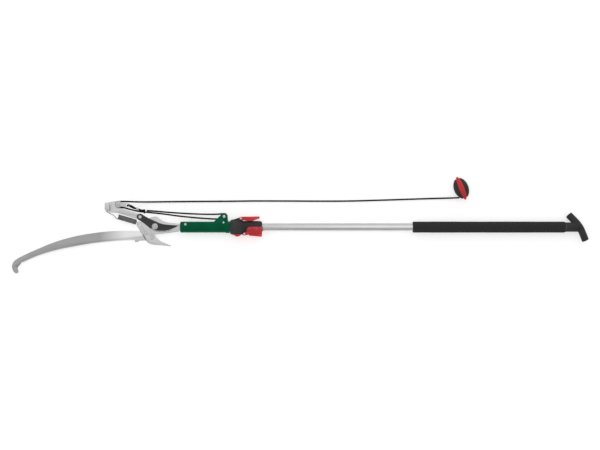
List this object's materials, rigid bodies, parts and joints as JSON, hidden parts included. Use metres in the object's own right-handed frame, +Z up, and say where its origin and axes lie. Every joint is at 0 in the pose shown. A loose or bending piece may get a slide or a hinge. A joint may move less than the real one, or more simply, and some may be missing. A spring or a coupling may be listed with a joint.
{
  "type": "telescoping pole saw",
  "caption": "Two-tube telescoping pole with a curved saw blade, a rope-pulled hook pruner, a cam-lever clamp, a foam grip and a slanted hand bar.",
  "frame": {"origin": "middle of the tool's footprint on the surface it lies on", "axes": "+X along the pole from the cutting head to the hand bar, +Y from the saw's teeth towards the pull lever, +Z up from the surface it lies on"},
  "size_m": [1.7302, 0.2904, 0.045],
  "materials": {
    "aluminium": "satin drawn tube",
    "plated_steel": "stamped, bright zinc plated",
    "saw_steel": "ground bright blade steel",
    "coated_steel": "black low-friction coating",
    "spring_steel": "dark close-wound wire",
    "green_plastic": "moulded, glossy",
    "black_plastic": "moulded, fine grain",
    "red_plastic": "moulded, satin",
    "foam": "closed-cell foam sleeve",
    "rope": "braided polyester, black"
  },
  "bodies": {
    "pole": {"outer_tube": "aluminium", "foam_grip": "foam", "end_handle": "black_plastic", "handle_screw": "plated_steel", "clamp_body": "black_plastic", "clamp_shoe": "red_plastic", "upper_lever_pin": "plated_steel", "lower_lever_pin": "plated_steel"},
    "upper_lever": {"upper_clamp_lever": "red_plastic"},
    "lower_lever": {"lower_clamp_lever": "red_plastic"},
    "head": {"inner_tube": "aluminium", "inner_tube_guide": "black_plastic", "head_socket": "green_plastic", "socket_rivet": "plated_steel", "fin_screw": "plated_steel", "tube_screw": "plated_steel", "bracket_axle": "plated_steel", "hook_frame": "plated_steel", "saw_blade": "saw_steel", "pivot_washer": "plated_steel", "pivot_nut": "plated_steel", "pivot_bolt": "plated_steel", "saw_bolt_1": "plated_steel", "saw_bolt_2": "plated_steel", "saw_washer_1": "plated_steel", "saw_washer_2": "plated_steel", "wing_nut_1": "plated_steel", "wing_nut_2": "plated_steel", "return_spring": "spring_steel", "tackle_rope": "rope", "pull_rope": "rope", "pull_handle_core": "red_plastic", "pull_handle_grip_left": "black_plastic", "pull_handle_grip_right": "black_plastic"},
    "bracket_wheel": {"bracket_pulley": "plated_steel"},
    "jaw": {"cutting_blade": "coated_steel", "pull_lever": "plated_steel", "lever_rivet": "plated_steel", "lever_axle": "plated_steel", "rope_becket": "plated_steel", "rope_knot": "rope", "rope_ferrule": "plated_steel"},
    "lever_wheel": {"lever_pulley": "plated_steel"}
  },
  "joints": [
    {"name": "pole_slide", "type": "slide", "parent": "pole", "child": "head", "axis": [-1, 0, 0], "range_m": [0, 0.7]},
    {"name": "upper_lever_open", "type": "hinge", "parent": "pole", "child": "upper_lever", "pos_m": [-0.17711, 0.02008, 0.022], "axis": [0, 0, 1], "range_deg": [0, 95]},
    {"name": "lower_lever_open", "type": "hinge", "parent": "pole", "child": "lower_lever", "pos_m": [-0.16711, -0.02662, 0.022], "axis": [0, 0, -1], "range_deg": [0, 80]},
    {"name": "jaw_close", "type": "hinge", "parent": "head", "child": "jaw", "pos_m": [-0.43511, -0.00412, 0.022], "axis": [0, 0, -1], "range_deg": [0, 58], "stiffness_Nm_per_rad": 2.2, "springref_deg": -20.05, "deforming": ["return_spring", "tackle_rope", "pull_rope"]},
    {"name": "lever_pulley_spin", "type": "hinge", "parent": "jaw", "child": "lever_wheel", "pos_m": [-0.54411, 0.06238, 0.0282], "axis": [0, 0, 1], "continuous": true},
    {"name": "bracket_pulley_spin", "type": "hinge", "parent": "head", "child": "bracket_wheel", "pos_m": [-0.22751, 0.02588, 0.022], "axis": [0, 0, 1], "continuous": true}
  ]
}
